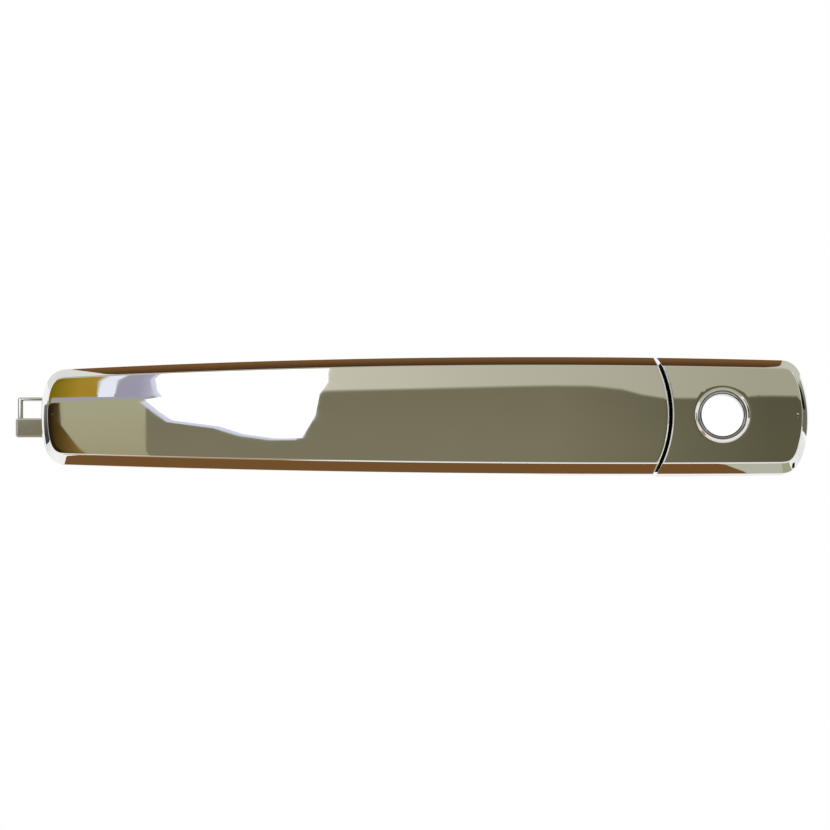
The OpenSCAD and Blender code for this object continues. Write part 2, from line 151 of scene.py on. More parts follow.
def long_grid(edge, rows, seam, wall_y, span=46.0, seam_side=1, deep=1):
    """A grid of points over the form, one column per place along it.

    edge is (outline points, inward normals), rows are (inset, height function) from the
    outline's outer edge inwards, and seam is (radius, edge radius) of the cut. wall_y is where
    the cut's wall ends, and deep is 1 where that lies towards +Y. Columns run from the tip to
    the seam, rows from the upper edge over the form to the lower one, 36 of them over the face.
    The last columns, within span of the seam, bend to follow its arc.
    """
    middle = 36
    p, normal = edge
    radius, edge_r = seam
    last = rows[-1][0]
    insets = [d for d, _ in rows] + [last] * (middle - 1) + [d for d, _ in rows[::-1]]
    heights = [f for _, f in rows] + [rows[-1][1]] * (middle - 1) + [f for _, f in rows[::-1]]
    share = [1.0] * len(rows) + [1 - 2 * m / middle for m in range(1, middle)] + [-1.0] * len(rows)
    insets, share = np.array(insets), np.array(share)
    here = insets[None] * (1 - END_NARROWING * normal[:, None, 0] ** 2)
    x = p[:, None, 0] + here * normal[:, None, 0]
    z = (p[:, None, 1] + here * normal[:, None, 1]) * share[None]
    u = np.clip(1 - np.abs(p[:, 0] - p[-1, 0]) / span, 0, 1)[:, None]

    def arc_x(r, z):
        return SEAM_X + np.sqrt(r**2 - z**2)

    face_end = radius - seam_side * edge_r
    moved = (1 - u**2) * x + u**2 * arc_x(face_end, z)
    z = z * (side_half(moved) - insets[None]) / (side_half(x) - insets[None])
    x = (1 - u**2) * x + u**2 * arc_x(face_end, z)
    lift = np.stack([f(x[:, j], z[:, j]) for j, f in enumerate(heights)], 1)
    grids = [np.stack([x, lift, z], 2)]
    z_end = z[-1:]
    steps = 7
    for i in range(1, steps + 1):
        a = math.pi / 2 * i / steps
        xi = arc_x(face_end + seam_side * edge_r * math.sin(a), z_end)
        yi = np.stack([f(xi[:, j], z_end[:, j]) for j, f in enumerate(heights)], 1)
        yi = yi + deep * edge_r * (1 - math.cos(a))
        yi = deep * np.minimum(deep * yi, deep * wall_y(xi, z_end))
        grids.append(np.stack([xi, yi, z_end], 2))
    top = grids[-1]
    end_y = wall_y(top[..., 0], top[..., 2])
    for f in (0.08, 0.3, 0.65, 1.0):
        y = top[..., 1] + f * (end_y - top[..., 1])
        grids.append(np.stack([top[..., 0], y, top[..., 2]], 2))
    return np.concatenate(grids)


class Builder:
    """Collects points and faces, then makes one object of them."""

    def __init__(self):
        self.points, self.faces = [], []

    def add(self, points):
        first = len(self.points)
        self.points.extend(np.asarray(points, float).reshape(-1, 3).tolist())
        return first

    def grid(self, g, skip=None):
        """Adds a grid of points with its faces and returns the indices, columns by rows. skip is
        (first column, last column, first row, last row) of a block left without faces."""
        n, m = g.shape[:2]
        index = np.arange(n * m).reshape(n, m) + self.add(g)
        for i in range(n - 1):
            for j in range(m - 1):
                if skip and skip[0] <= i < skip[1] and skip[2] <= j < skip[3]:
                    continue
                self.faces.append([index[i, j], index[i + 1, j], index[i + 1, j + 1], index[i, j + 1]])
        return index

    def bridge(self, a, b, closed=False):
        """Faces between two rows of indices of the same length."""
        n = len(a)
        for i in range(n if closed else n - 1):
            k = (i + 1) % n
            self.faces.append([a[i], a[k], b[k], b[i]])

    def make(self, name, material, smooth_angle=35, pinch=False):
        mesh = bpy.data.meshes.new(name)
        points = [[c * MM for c in p] for p in self.points]
        mesh.from_pydata(points, [], [[int(i) for i in f] for f in self.faces])
        if pinch:
            gather_tips(mesh)
        return finish_mesh(name, mesh, material, smooth_angle)


def gather_tips(mesh):
    """Merges the crowded points where the rows of a long grid meet at its tip."""
    bm = bmesh.new()
    bm.from_mesh(mesh)
    reach = 8.0

    def at_tip(v, half):
        x, _, z = v.co / MM
        return abs(z) < half and (x < FRONT_X + reach or x > REAR_X - reach)

    bmesh.ops.remove_doubles(bm, verts=[v for v in bm.verts if at_tip(v, 0.7)], dist=0.045 * MM)
    near = [e for e in bm.edges if all(at_tip(v, 0.9) for v in e.verts)]
    bmesh.ops.dissolve_degenerate(bm, edges=near, dist=0.02 * MM)
    bm.to_mesh(mesh)
    bm.free()


def finish_mesh(name, mesh, material, smooth_angle=35, merge=True):
    """Merges doubles, drops empty faces, turns normals outwards and shades the mesh smooth."""
    bm = bmesh.new()
    bm.from_mesh(mesh)
    if merge:
        bmesh.ops.remove_doubles(bm, verts=bm.verts, dist=2e-7)
        bmesh.ops.dissolve_degenerate(bm, edges=bm.edges, dist=1e-7)
    bmesh.ops.recalc_face_normals(bm, faces=bm.faces)
    for f in bm.faces:
        f.smooth = True
    limit = math.radians(smooth_angle)
    for e in bm.edges:
        e.smooth = e.calc_face_angle(0) < limit
    bm.to_mesh(mesh)
    bm.free()
    mesh.materials.clear()
    mesh.materials.append(material)
    obj = bpy.data.objects.new(name, mesh)
    bpy.context.scene.collection.objects.link(obj)
    return obj


def apply_modifiers(obj):
    with bpy.context.temp_override(object=obj, active_object=obj):
        for m in list(obj.modifiers):
            bpy.ops.object.modifier_apply(modifier=m.name)


# ---------- materials ----------


def new_material(name, **values):
    """A Principled material whose even values are set on the shader's own sockets."""
    m = bpy.data.materials.new(name)
    m.use_nodes = True
    shader = m.node_tree.nodes["Principled BSDF"]
    for key, value in values.items():
        shader.inputs[key.replace("_", " ")].default_value = value
    return m, m.node_tree.nodes, m.node_tree.links, shader


def noise(nodes, links, scale, detail=4.0, stretch=(1, 1, 1)):
    """A noise texture in object coordinates; returns its factor."""
    where = nodes.new("ShaderNodeTexCoord")
    mapping = nodes.new("ShaderNodeMapping")
    mapping.inputs["Scale"].default_value = stretch
    texture = nodes.new("ShaderNodeTexNoise")
    texture.inputs["Scale"].default_value = scale
    texture.inputs["Detail"].default_value = detail
    links.new(where.outputs["Object"], mapping.inputs["Vector"])
    links.new(mapping.outputs["Vector"], texture.inputs["Vector"])
    return texture.outputs["Fac"]


def ramp(nodes, links, source, low_value, high_value, start=0.3, end=0.7):
    """Maps a factor to a range of values or colours."""
    if isinstance(low_value, tuple):
        node = nodes.new("ShaderNodeValToRGB")
        node.color_ramp.elements[0].position = start
        node.color_ramp.elements[1].position = end
        node.color_ramp.elements[0].color = (*low_value, 1)
        node.color_ramp.elements[1].color = (*high_value, 1)
        links.new(source, node.inputs["Fac"])
        return node.outputs["Color"]
    node = nodes.new("ShaderNodeMapRange")
    node.inputs["From Min"].default_value = start
    node.inputs["From Max"].default_value = end
    node.inputs["To Min"].default_value = low_value
    node.inputs["To Max"].default_value = high_value
    links.new(source, node.inputs["Value"])
    return node.outputs["Result"]


def add_bump(nodes, links, shader, height, strength, distance):
    bump = nodes.new("ShaderNodeBump")
    bump.inputs["Strength"].default_value = strength
    bump.inputs["Distance"].default_value = distance
    links.new(height, bump.inputs["Height"])
    links.new(bump.outputs["Normal"], shader.inputs["Normal"])


def surface(name, dark, light, rough, grain, bump, metallic=0.0, stretch=(1, 1, 1), cloud=60, **values):
    """A material with clouded colour, uneven roughness and a fine grain."""
    m, nodes, links, shader = new_material(name, Metallic=metallic, **values)
    patches = noise(nodes, links, cloud)
    links.new(ramp(nodes, links, patches, dark, light), shader.inputs["Base Color"])
    fine = noise(nodes, links, grain, 6.0, stretch)
    links.new(ramp(nodes, links, fine, rough[0], rough[1]), shader.inputs["Roughness"])
    if bump:
        add_bump(nodes, links, shader, fine, bump, 0.0002)
    return m


def chrome(name, tint, rough, wave):
    """Bright plating over a moulding: a slight waviness, faint haze and fine wipe marks."""
    m, nodes, links, shader = new_material(name, Metallic=1.0)
    haze = noise(nodes, links, 45, 3.0)
    links.new(ramp(nodes, links, haze, tuple(0.975 * c for c in tint), tint), shader.inputs["Base Color"])
    wipe = noise(nodes, links, 260, 5.0, (0.25, 1, 1))
    links.new(ramp(nodes, links, wipe, rough[0], rough[1]), shader.inputs["Roughness"])
    swell = noise(nodes, links, 38, 0.0, (0.6, 1, 1.4))
    add_bump(nodes, links, shader, swell, wave, 0.0004)
    return m


CHROME = chrome("chrome", (0.86, 0.86, 0.85), (0.012, 0.035), 0.035)
# Painted shade: a darkened copy of the plating that stands in for the dark ring mirrored in the key hole's
# bead and bore.
PAINTED_SHADE_CHROME = chrome("chrome_painted_shade", (0.36, 0.35, 0.37), (0.08, 0.2), 0.08)
PLATED = chrome("plated_back", (0.82, 0.82, 0.81), (0.035, 0.08), 0.05)
BRACKET = surface("bracket_plastic", (0.018, 0.018, 0.019), (0.03, 0.03, 0.032), (0.42, 0.62), 1400, 0.25)
RUBBER = surface("rubber", (0.012, 0.012, 0.012), (0.024, 0.024, 0.024), (0.62, 0.85), 2200, 0.2)
ZINC_STEEL = surface("zinc_steel", (0.50, 0.51, 0.53), (0.66, 0.66, 0.66), (0.22, 0.4), 900, 0.08, 1.0)
BLACK_STEEL = surface("black_steel", (0.03, 0.03, 0.032), (0.06, 0.06, 0.065), (0.3, 0.5), 900, 0.1, 0.6)
DIE_CAST = surface("die_cast", (0.34, 0.34, 0.35), (0.47, 0.47, 0.48), (0.38, 0.6), 700, 0.35, 1.0)
WEIGHT_IRON = surface("weight_iron", (0.05, 0.05, 0.055), (0.11, 0.11, 0.115), (0.5, 0.75), 600, 0.5, 0.7)
BRASS = surface("brass", (0.55, 0.38, 0.13), (0.74, 0.55, 0.24), (0.18, 0.35), 800, 0.08, 1.0)
ACETAL = surface("acetal", (0.66, 0.65, 0.58), (0.78, 0.77, 0.71), (0.3, 0.42), 1500, 0.06)


# ---------- simple solids, for the arms and fittings ----------


def block(name, x, y, z, r, material):
    """A box with rounded edges."""
    bm = bmesh.new()
    bmesh.ops.create_cube(bm, size=1)
    for v in bm.verts:
        v.co = [c[0] + (c[1] - c[0]) * (k + 0.5) for k, c in zip(v.co, (x, y, z))]
    bmesh.ops.bevel(bm, geom=list(bm.edges), offset=r, segments=3, profile=0.5, affect="EDGES")
    for v in bm.verts:
        v.co *= MM
    mesh = bpy.data.meshes.new(name)
    bm.to_mesh(mesh)
    bm.free()
    return finish_mesh(name, mesh, material, 50)


def rod(name, axis, centre, r, span, material, edge=0.25, n=64):
    """A cylinder along axis 0, 1 or 2 with rounded rims."""
    lo, hi = span
    k = edge * (1 - math.sqrt(0.5))
    profile = [(r - edge, lo), (r - k, lo + k), (r, lo + edge)]
    profile += [(r, hi - edge), (r - k, hi - k), (r - edge, hi)]
    b = Builder()
    angles = np.arange(n) * 2 * math.pi / n
    rings = []
    for r, t in profile:
        ring = np.zeros((n, 3))
        ring[:, axis] = t
        ring[:, (axis + 1) % 3] = centre[0] + r * np.cos(angles)
        ring[:, (axis + 2) % 3] = centre[1] + r * np.sin(angles)
        rings.append(np.arange(n) + b.add(ring))
    for one, two in zip(rings, rings[1:]):
        b.bridge(one, two, closed=True)
    b.faces += [list(rings[0]), list(rings[-1])]
    return b.make(name, material)


def combine(target, *others, op="UNION"):
    """Joins the others to target, or cuts them from it, and shades the result again."""
    for other in others:
        m = target.modifiers.new("combine", "BOOLEAN")
        m.operation, m.solver, m.object = op, "MANIFOLD", other
    for m in [m for m in target.modifiers if m.type == "WEIGHTED_NORMAL"]:
        target.modifiers.remove(m)
    apply_modifiers(target)
    for other in others:
        bpy.data.objects.remove(other)
    mesh = target.data
    name, material = target.name, mesh.materials[0]
    bpy.data.objects.remove(target)
    mesh.name = name + "_old"
    result = finish_mesh(name, mesh.copy(), material, 40, merge=False)
    shade = result.modifiers.new("shade", "WEIGHTED_NORMAL")
    shade.keep_sharp = True
    return result


def place(obj, body, slot, *nodes):
    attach(obj, body)
    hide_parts(*nodes)


# ---------- the grip and its cover ----------


def face_rows(lift, back, depth=BEVEL_D):
    """Rows of a bevelled shell from its back edge to its face."""
    belly = (0.44 * BEVEL_W, 0.488 * depth)
    profile = fillet([(0.0, depth + 1.6), (0.04, depth), belly, (BEVEL_W, 0.0), (BEVEL_W + 1.6, 0.0)],
                     [0.9, 38.0, 0.5], 7)
    rows = [(0.0, back)]
    for d, e in profile[1:]:
        rows.append((d, lambda x, z, e=e: face_y(x, z) + e + lift))
    rows.append((BEVEL_W + 2.3, lambda x, z: face_y(x, z) + lift))
    return rows


def loop_of(index):
    """Indices round the open edge of a long grid: upper edge, seam, lower edge."""
    return [*index[:, 0], *index[-1, 1:-1], *index[::-1, -1]]


def front_outline(inset, n=230):
    reach = SEAM_X + SEAM_R - 14 - FRONT_X
    return half_outline(FRONT_X, 1, 53.0, 13.0, reach, inset, n)


def cover_back(x, z):
    return bow(x) + COVER_D


def grip_cover():
    b = Builder()
    outer = b.grid(long_grid(front_outline(0), face_rows(0, cover_back), (SEAM_R, SEAM_EDGE), cover_back))
    inner = b.grid(long_grid(front_outline(WALL), face_rows(WALL, cover_back, BEVEL_D - 1.2),
                             (SEAM_R - WALL, SEAM_EDGE), cover_back))
    b.bridge(loop_of(outer), loop_of(inner))
    place(b.make("grip_cover_shell", CHROME, 50, pinch=True), "grip", "chrome", "grip_cover")


ARCH_FROM, ARCH_TO, ARCH_RAMP = -158.0, -44.0, 22.0
OPEN_ANGLE = 9.0
GRIP_SCREWS_X = (-140.0, -60.0)
NOSE_ROOT, NOSE_Y, NOSE_Z, NOSE_SILL = -190.2, (3.2, 8.2), (-4.9, 6.5), 0.5


def base_at(x):
    return BASE_Y - np.maximum(0, HINGE_X - x) * math.tan(math.radians(OPEN_ANGLE + 0.5))


def finger_back(x, z):
    arch = smooth((x - ARCH_FROM) / ARCH_RAMP) * smooth((ARCH_TO - x) / ARCH_RAMP)
    return base_at(x) + arch * (bow(x) + GRIP_T - base_at(x))


def grip_back():
    profile = fillet([(0.0, -6.0), (0.0, 0.0), (6.0, 0.0)], [3.6], 9)
    rows = [(0.0, cover_back)]
    for d, e in profile[1:-1]:
        rows.append((d, lambda x, z, e=e: np.maximum(finger_back(x, z) + e, cover_back(x, z) + 0.05)))
    rows.append((4.6, finger_back))
    b = Builder()
    edge = front_outline(0.15)
    g = long_grid(edge, rows, (SEAM_R, 0.8), cover_back, deep=-1)
    index = b.grid(g)
    for i in range(len(index) - 1):
        b.faces.append([index[i, 0], index[i + 1, 0], index[i + 1, -1], index[i, -1]])
    b.faces.append(list(index[-1]))
    back = b.make("grip_body", PLATED, 40)
    cuts = [block("pocket", (-174, -158), (-9.5, 4), (-8, 8), 0.6, PLATED)]
    for x in GRIP_SCREWS_X:
        seat = finger_back(x, 0) - 2.2
        cuts.append(rod("counterbore", 1, (0, x), 3.4, (seat, 8), PLATED, 0.2))
        cuts.append(rod("hole", 1, (0, x), 1.7, (-24, 8), PLATED, 0.1, 32))
    back = combine(back, *cuts, op="DIFFERENCE")
    tip = low("grip_back", 0)
    loop = block("loop", (tip + 0.6, NOSE_ROOT), NOSE_Y, (NOSE_SILL - 0.3, NOSE_Z[1]), 0.45, PLATED)
    window = block("window", (tip + 2.1, NOSE_ROOT - 1.8), (0, 12), (NOSE_SILL, NOSE_Z[1] - 0.9), 0.3, PLATED)
    loop = combine(loop, window, op="DIFFERENCE")
    arm = [
        block("sill", (tip, NOSE_ROOT + 2.7), NOSE_Y, (NOSE_Z[0], NOSE_SILL), 0.45, PLATED),
        loop,
        block("arm", (-187, -180), (-9, HINGE_Y + 2.6), (-5.5, 5.5), 0.8, PLATED),
        rod("boss", 2, (HINGE_X, HINGE_Y), 3.5, (-5.3, 5.3), PLATED, 0.4),
        rod("trunnions", 2, (HINGE_X, HINGE_Y), 3.0, (-9.5, 9.5), PLATED, 0.5),
        block("leg", (-36, -28), (-9, 36.5), (-5, 5), 0.8, PLATED),
        block("hook", (-49, -34), (32, 36.5), (-2.2, 2.2), 0.9, PLATED),
        block("ears", (-36, -28), (27.3, 30.3), (-9, 9), 0.6, PLATED),
    ]
    place(combine(back, *arm), "grip", "plated_back", "grip_back")


grip_cover()
grip_back()


# ---------- the end cap, with its key hole ----------

KEY_R, BEAD_R, SLEEVE_R = 6.0, 7.75, 8.5


def cap_outline(inset, n=110):
    return half_outline(REAR_X, -1, 35.0, 6.0, REAR_X + 14.0, inset, n)


def cap_back(x, z):
    return GASKET_Y + 0 * x


def block_loop(index, cols, rows):
    (i0, i1), (j0, j1) = cols, rows
    return [*index[i0:i1, j0], *index[i1, j0:j1], *index[i1:i0:-1, j1], *index[i0, j1:j0:-1]]


def ring_points(angles, r, y):
    x, z = r * np.cos(angles), r * np.sin(angles)
    return np.stack([x, y(x, z) if callable(y) else np.full_like(x, y), z], 1)


def opened(b, g, cols, rows, r, surface_y):
    """Adds a grid with a round hole of radius r about the origin; returns its indices, the
    hole's rim and the rim's angles."""
    index = b.grid(g, skip=(*cols, *rows))
    last = block_loop(index, cols, rows)
    square = np.array([b.points[i] for i in last])
    angles = np.arctan2(square[:, 2], square[:, 0])
    circle = ring_points(angles, r, surface_y)
    for t in (0.3, 0.6, 0.85, 1.0):
        ring = (1 - t) * square + t * circle
        ring[:, 1] = surface_y(ring[:, 0], ring[:, 2])
        index_ring = np.arange(len(ring)) + b.add(ring)
        b.bridge(last, index_ring, closed=True)
        last = index_ring
    return index, last, angles


def add_rings(b, last, angles, profile):
    for r, y in profile:
        ring = np.arange(len(angles)) + b.add(ring_points(angles, r, y))
        b.bridge(last, ring, closed=True)
        last = ring
    return last


def end_cap():
    seam = SEAM_R + SEAM_GAP
    shape = dict(seam_side=-1, span=9.0)
    outer = long_grid(cap_outline(0), face_rows(0, cap_back), (seam, SEAM_EDGE), cap_back, **shape)
    inner = long_grid(cap_outline(WALL), face_rows(WALL, cap_back, BEVEL_D - 1.2),
                      (seam + WALL, SEAM_EDGE), cap_back, **shape)
    mid = outer.shape[1] // 2
    inside = np.where(np.abs(outer[:, mid, 0]) < 10.6)[0]
    across = np.where(np.abs(outer[inside[0], :, 2]) < 11.2)[0]
    cols, rows = (inside[0], inside[-1]), (across[0], across[-1])
    b = Builder()
    out_index, rim, angles = opened(b, outer, cols, rows, BEAD_R + 0.35, face_y)
    key_end = bow(0.0) + 8
    bead = [(BEAD_R + 0.12, 0.03), (BEAD_R, -0.12), (BEAD_R - 0.1, -0.4), (BEAD_R - 0.38, -0.66),
            (BEAD_R - 0.75, -0.8), (KEY_R + 0.62, -0.78), (KEY_R + 0.28, -0.6), (KEY_R + 0.06, -0.3),
            (KEY_R, 0.1)]
    lifted = [(r, lambda x, z, e=e: face_y(x, z) + e) for r, e in bead]
    bore = [(KEY_R, bow(0.0) + 2), (KEY_R, key_end - 0.3), (KEY_R + 0.3, key_end)]
    rim = add_rings(b, rim, angles, lifted + bore)
    in_index, in_rim, in_angles = opened(b, inner, cols, rows, SLEEVE_R, lambda x, z: face_y(x, z) + WALL)
    in_rim = add_rings(b, in_rim, in_angles, [(SLEEVE_R, key_end - 0.3), (SLEEVE_R - 0.3, key_end)])
    b.bridge(rim, in_rim, closed=True)
    b.bridge(loop_of(out_index), loop_of(in_index))
    shell = b.make("end_cap_shell", CHROME, 50)
    fittings = [block("leg", (14.6, 18.6), (bow(16.0) + 1.5, 16.5), (-6, 6), 0.5, CHROME)]
    for z in ((8.8, 10.8), (-10.8, -8.8)):
        fittings.append(block("hook", (-14.4, -12.4), (GASKET_Y - 6, 5.5), z, 0.35, CHROME))
        fittings.append(block("lip", (-13.9, -11.0), (2.9, 5.4), z, 0.35, CHROME))
    shell = combine(shell, *fittings)
    shell = combine(shell, rod("screw_hole", 0, (11.5, 0), 3.5, (13, 20), CHROME, 0.1, 48), op="DIFFERENCE")
    gather_tips(shell.data)
    # Painted shade: the inner side of the key hole's bead and the bore wall get the darkened plating, so they
    # show a dark ring.
    shell.data.materials.append(PAINTED_SHADE_CHROME)
    for f in shell.data.polygons:
        x, y, z = f.center / MM
        if math.hypot(x, z) < KEY_R + 1.05 and y < key_end + 0.1:
            f.material_index = 1
    place(shell, "bracket", "chrome", "end_cap")


end_cap()


# ---------- the return spring ----------


def tube(name, path, r, material):
    """A round wire along a path whose turns lie in planes of constant z."""
    sides = 14
    path = np.array(path, float)
    t = np.gradient(path, axis=0)
    t /= np.linalg.norm(t, axis=1)[:, None]
    u = np.cross((0, 0, 1), t)
    u /= np.linalg.norm(u, axis=1)[:, None]
    v = np.cross(t, u)
    b = Builder()
    angles = np.arange(sides) * 2 * math.pi / sides
    rings = []
    for i, p in enumerate(path):
        k = 0.7 if i in (0, len(path) - 1) else 1.0
        ring = p + k * r * (np.cos(angles)[:, None] * u[i] + np.sin(angles)[:, None] * v[i])
        rings.append(np.arange(sides) + b.add(ring))
    for one, two in zip(rings, rings[1:]):
        b.bridge(one, two, closed=True)
    b.faces += [list(rings[0]), list(rings[-1])]
    return b.make(name, material, 60)


PIVOT = (-68.0, 20.0)
ROLLER_ANGLE = math.radians(20.72)


def return_spring():
    r, wire, turns, z0, z1 = 6.6, 0.55, 2.75, 5.4, 8.5
    start = ROLLER_ANGLE - math.pi / 2
    n = int(turns * 48)
    a = start - 2 * math.pi * turns * np.linspace(0, 1, n + 1)
    z = z0 + (z1 - z0) * np.linspace(0, 1, n + 1)
    coil = np.stack([PIVOT[0] + r * np.cos(a), PIVOT[1] + r * np.sin(a), z], 1)
    d_in = np.array([-math.sin(start), math.cos(start), 0])
    d_out = np.array([math.sin(a[-1]), -math.cos(a[-1]), 0])
    leg_in = [coil[0] + d_in * t for t in (14, 13.8, 10, 6, 2, 0.6)]
    leg_out = [coil[-1] + d_out * t for t in (0.6, 2, 6, 10, 14, 16.8, 17)]
    spring = tube("return_spring_wire", [*leg_in, *coil, *leg_out], wire, ZINC_STEEL)
    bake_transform(spring)
    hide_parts("return_spring")


return_spring()


# ---------- the nodes that stay: softened edges and real materials ----------


def dress(node, material, edge):
    """Gives a node its material, flattens its faces' facets and rounds its edges."""
    obj = frame["nodes"][node]
    obj.data.materials.clear()
    obj.data.materials.append(material)
    flat = obj.modifiers.new("flat", "DECIMATE")
    flat.decimate_type, flat.angle_limit = "DISSOLVE", math.radians(0.6)
    soft = obj.modifiers.new("edges", "BEVEL")
    soft.width, soft.segments, soft.limit_method = edge * MM, 2, "ANGLE"
    soft.angle_limit, soft.harden_normals = math.radians(32), False
    shade = obj.modifiers.new("shade", "WEIGHTED_NORMAL")
    shade.keep_sharp = True


DRESSED = {
    "bracket": (BRACKET, 0.3),
    "front_gasket": (RUBBER, 0.25), "rear_gasket": (RUBBER, 0.25), "lever_buffer": (RUBBER, 0.3),
    "lever": (DIE_CAST, 0.3), "lever_roller": (ACETAL, 0.2),
    "roller_pin": (ZINC_STEEL, 0.15), "counterweight": (WEIGHT_IRON, 0.4),
    "counterweight_rivet": (ZINC_STEEL, 0.2), "lever_pin": (ZINC_STEEL, 0.15),
    "pin_clip": (BLACK_STEEL, 0.1), "front_bolt": (ZINC_STEEL, 0.25), "front_nut": (ZINC_STEEL, 0.3),
    "fixing_inserts": (BRASS, 0.1), "cap_insert": (BRASS, 0.1), "cap_screw": (BLACK_STEEL, 0.2),
    "grip_screws": (BLACK_STEEL, 0.2),
}
for node, (material, edge) in DRESSED.items():
    dress(node, material, edge)


# ---------- stage, light and camera ----------


def srgb(*display):
    """Linear light that the plating, which mirrors 86 % of it, shows as this display colour."""
    linear = [c / 12.92 if c <= 0.04 else ((c + 0.055) / 1.055) ** 2.4 for c in display]
    return tuple(c / 0.86 for c in linear)


def emitter(name, colour, fade=None, dim=None):
    m = bpy.data.materials.new(name)
    m.use_nodes = True
    nodes, links = m.node_tree.nodes, m.node_tree.links
    nodes.clear()
    out = nodes.new("ShaderNodeOutputMaterial")
    glow = nodes.new("ShaderNodeEmission")
    glow.inputs["Color"].default_value = (*colour, 1)
    glow.inputs["Strength"].default_value = 1.0
    where = nodes.new("ShaderNodeTexCoord")
    split = nodes.new("ShaderNodeSeparateXYZ")
    links.new(where.outputs["Object"], split.inputs["Vector"])
    if fade:
        axis, other, start, end = fade
        mix = ramp(nodes, links, split.outputs[axis], 0.0, 1.0, start, end)
        links.new(ramp(nodes, links, mix, colour, other, 0.0, 1.0), glow.inputs["Color"])
    if dim:
        axis, factor, start, end = dim
        links.new(ramp(nodes, links, split.outputs[axis], 1.0, factor, start, end), glow.inputs["Strength"])
    links.new(glow.outputs["Emission"], out.inputs["Surface"])
    return m


def card(name, corners, colour, fade=None, dim=None):
    """A flat card that only shows in reflections. fade is (axis, other colour, start, end) and
    dim is (axis, factor, start, end)."""
    mesh = bpy.data.meshes.new(name)
    mesh.from_pydata(corners, [], [list(range(len(corners)))])
    mesh.materials.append(emitter(name, colour, fade, dim))
    obj = bpy.data.objects.new(name, mesh)
    bpy.context.scene.collection.objects.link(obj)
    obj.visible_camera = False
    obj.visible_diffuse = False
    obj.visible_shadow = False


def front_card(name, y, outline, colour, fade=None, dim=None):
    card(name, [(x, y, z) for x, z in outline], colour, fade, dim)


def front_cards():
    """The room in front of the handle: a pale wall over a dark one, a bright window and drapes."""
    front_card("wall_high", -1.66, [(-1.3, -0.6), (1.1, -0.6), (1.1, 1.3), (-1.3, 1.3)],
               srgb(0.76, 0.75, 0.68), ("X", srgb(0.63, 0.62, 0.54), -0.3, 0.6))
    edge = [(-1.3, 0.2), (-0.3, 0.215), (0.0, 0.235), (0.15, 0.247), (0.23, 0.247), (0.29, 0.23),
            (0.33, 0.2), (0.37, 0.183), (0.42, 0.182), (0.5, 0.195), (0.6, 0.205), (1.1, 0.21)]
    bands = 5  # the dark wall's top edge, softened by darkening it in steps
    for i in range(bands):
        t = (i + 1) / bands
        tone = [0.72 - 0.25 * t, 0.71 - 0.26 * t, 0.62 - 0.26 * t]
        shade = [0.60 - 0.25 * t, 0.59 - 0.25 * t, 0.50 - 0.24 * t]
        outline = [(-1.3, -0.6), (1.1, -0.6), *((x, z + 0.018 * (1 - t)) for x, z in edge[::-1])]
        front_card(f"wall_low_{i}", -1.61 + 0.002 * i, outline, srgb(*tone),
                   ("X", srgb(*shade), 0.15, 0.6), ("Z", 0.9, -0.1, 0.2))
    window = [(-0.618, 0.5), (-0.283, 0.5), (-0.28, 0.27), (-0.296, 0.2), (-0.303, 0.08),
              (-0.328, -0.045), (-0.38, -0.045), (-0.44, -0.02), (-0.49, 0.025), (-0.585, 0.062),
              (-0.615, 0.12), (-0.642, 0.18), (-0.605, 0.195), (-0.615, 0.23), (-0.622, 0.3)]
    haze = [(x - 0.012, z - 0.012) for x, z in window]
    front_card("window_haze", -1.565, haze, srgb(0.8, 0.81, 0.88))
    front_card("window", -1.56, window, (1.5, 1.52, 1.55))
    front_card("pale_corner", -1.58, [(-0.84, -0.5), (-0.645, -0.5), (-0.645, 0.2), (-0.9, 0.2)],
               srgb(0.61, 0.59, 0.47), ("Z", srgb(0.64, 0.63, 0.52), -0.15, 0.15))
    front_card("shelf", -1.576, [(-0.86, 0.18), (-0.645, 0.185), (-0.62, 0.205), (-0.86, 0.21)],
               srgb(0.62, 0.61, 0.64))
    front_card("lilac", -1.57, [(-0.707, 0.2), (-0.6, 0.2), (-0.6, 0.5), (-0.7, 0.5)],
               srgb(0.60, 0.59, 0.66), ("X", srgb(0.70, 0.69, 0.76), -0.66, -0.62))
    front_card("curtain", -1.568, [(-0.745, 0.2), (-0.71, 0.2), (-0.69, 0.5), (-0.73, 0.5)],
               srgb(0.90, 0.91, 0.96))
    front_card("gold", -1.55, [(-1.1, 0.2), (-0.741, 0.2), (-0.736, 0.5), (-1.1, 0.5)],
               srgb(0.46, 0.40, 0.05), ("X", srgb(0.63, 0.51, 0.17), -0.84, -0.78))
    front_card("dark_drape", -1.55, [(-1.1, -0.5), (-0.76, -0.5), (-0.775, -0.1), (-0.815, 0.04),
                                     (-0.82, 0.17), (-1.1, 0.17)],
               srgb(0.16, 0.11, 0.05), ("X", srgb(0.46, 0.36, 0.16), -0.84, -0.78))


